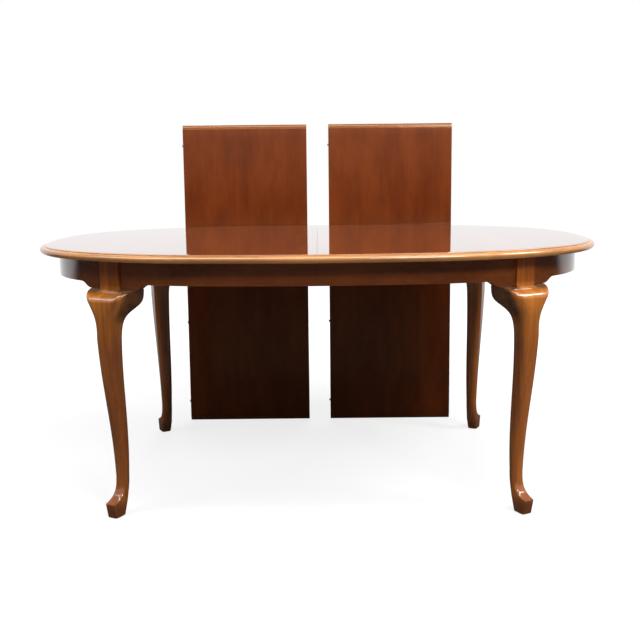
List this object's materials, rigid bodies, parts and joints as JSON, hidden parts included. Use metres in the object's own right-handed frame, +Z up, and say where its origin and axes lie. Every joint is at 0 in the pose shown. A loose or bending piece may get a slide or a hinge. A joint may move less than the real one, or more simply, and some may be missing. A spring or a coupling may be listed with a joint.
{
  "type": "extension dining table",
  "caption": "Oval extension dining table on cabriole legs, with geared slides that draw both halves apart and loose leaves standing behind it.",
  "frame": {"origin": "on the floor under the middle of the closed table, where the seam crosses its long middle line", "axes": "+X along the table to the right as the picture shows it, +Y away from the viewer towards the leaves, +Z up"},
  "size_m": [1.6764, 1.1709, 1.1173],
  "materials": {
    "top_wood": "high-gloss red-brown lacquer over straight-grained veneer",
    "edge_wood": "high-gloss red-brown lacquer on a moulded solid edge",
    "apron_wood": "high-gloss brown lacquer",
    "leg_wood": "high-gloss golden-brown lacquer",
    "frame_wood": "plain planed softwood",
    "slide_wood": "plain planed hardwood",
    "pin_wood": "plain turned hardwood",
    "gear_plastic": "moulded off-white plastic",
    "steel": "zinc-plated",
    "lock_steel": "plated pressed steel"
  },
  "bodies": {
    "centre": {"centre_slide_front": "slide_wood", "centre_slide_rear": "slide_wood", "tie_rails": "slide_wood", "tie_screws": "steel", "pinion_axles": "steel"},
    "left_half": {"corner_blocks_left": "frame_wood", "edge_moulding_left": "edge_wood", "end_apron_left": "apron_wood", "foot_glides_left": "steel", "gear_racks_left": "gear_plastic", "glue_blocks_left": "frame_wood", "knee_blocks_front_left": "leg_wood", "knee_blocks_rear_left": "leg_wood", "leg_bolts_left": "steel", "leg_front_left": "leg_wood", "leg_nuts_left": "steel", "leg_rear_left": "leg_wood", "leg_washers_left": "steel", "lock_bases": "lock_steel", "runner_screws_left": "steel", "side_apron_front_left": "apron_wood", "side_apron_rear_left": "apron_wood", "slide_runner_front_left": "slide_wood", "slide_runner_rear_left": "slide_wood", "top_panel_left": "top_wood"},
    "right_half": {"corner_blocks_right": "frame_wood", "edge_moulding_right": "edge_wood", "end_apron_right": "apron_wood", "foot_glides_right": "steel", "gear_racks_right": "gear_plastic", "glue_blocks_right": "frame_wood", "knee_blocks_front_right": "leg_wood", "knee_blocks_rear_right": "leg_wood", "leg_bolts_right": "steel", "leg_front_right": "leg_wood", "leg_nuts_right": "steel", "leg_rear_right": "leg_wood", "leg_washers_right": "steel", "lock_keepers": "lock_steel", "runner_screws_right": "steel", "seam_dowels": "pin_wood", "side_apron_front_right": "apron_wood", "side_apron_rear_right": "apron_wood", "slide_runner_front_right": "slide_wood", "slide_runner_rear_right": "slide_wood", "top_panel_right": "top_wood"},
    "pinion_front": {"pinion_front": "gear_plastic"},
    "pinion_rear": {"pinion_rear": "gear_plastic"},
    "lock_hook_front": {"lock_hook_front": "lock_steel"},
    "lock_hook_rear": {"lock_hook_rear": "lock_steel"},
    "leaf_left": {"leaf_dowels_left": "pin_wood", "leaf_ends_left": "edge_wood", "leaf_panel_left": "top_wood"},
    "leaf_right": {"leaf_dowels_right": "pin_wood", "leaf_ends_right": "edge_wood", "leaf_panel_right": "top_wood"}
  },
  "joints": [
    {"name": "left_slide", "type": "slide", "parent": "centre", "child": "left_half", "axis": [-1, 0, 0], "range_m": [0, 0.4572]},
    {"name": "right_slide", "type": "slide", "parent": "centre", "child": "right_half", "axis": [1, 0, 0], "range_m": [0, 0.4572]},
    {"name": "pinion_front_turn", "type": "hinge", "parent": "centre", "child": "pinion_front", "pos_m": [0, -0.23, 0.6923], "axis": [0, 0, 1], "range_deg": [0, 1456]},
    {"name": "pinion_rear_turn", "type": "hinge", "parent": "centre", "child": "pinion_rear", "pos_m": [0, 0.23, 0.6923], "axis": [0, 0, -1], "range_deg": [0, 1456]},
    {"name": "lock_front_swing", "type": "hinge", "parent": "left_half", "child": "lock_hook_front", "pos_m": [-0.028, -0.36, 0.7228], "axis": [0, 0, -1], "range_deg": [0, 90]},
    {"name": "lock_rear_swing", "type": "hinge", "parent": "left_half", "child": "lock_hook_rear", "pos_m": [-0.028, 0.36, 0.7228], "axis": [0, 0, 1], "range_deg": [0, 90]},
    {"name": "leaf_left_lift", "type": "slide", "parent": "centre", "child": "leaf_left", "axis": [0, 0, 1], "range_m": [0, 0.4]},
    {"name": "leaf_right_lift", "type": "slide", "parent": "centre", "child": "leaf_right", "axis": [0, 0, 1], "range_m": [0, 0.4]}
  ],
  "couplings": [
    {"joint": "right_slide", "follows": "left_slide", "ratio": 1},
    {"joint": "pinion_front_turn", "follows": "left_slide", "rad_per_m": 55.556},
    {"joint": "pinion_rear_turn", "follows": "left_slide", "rad_per_m": 55.556}
  ]
}
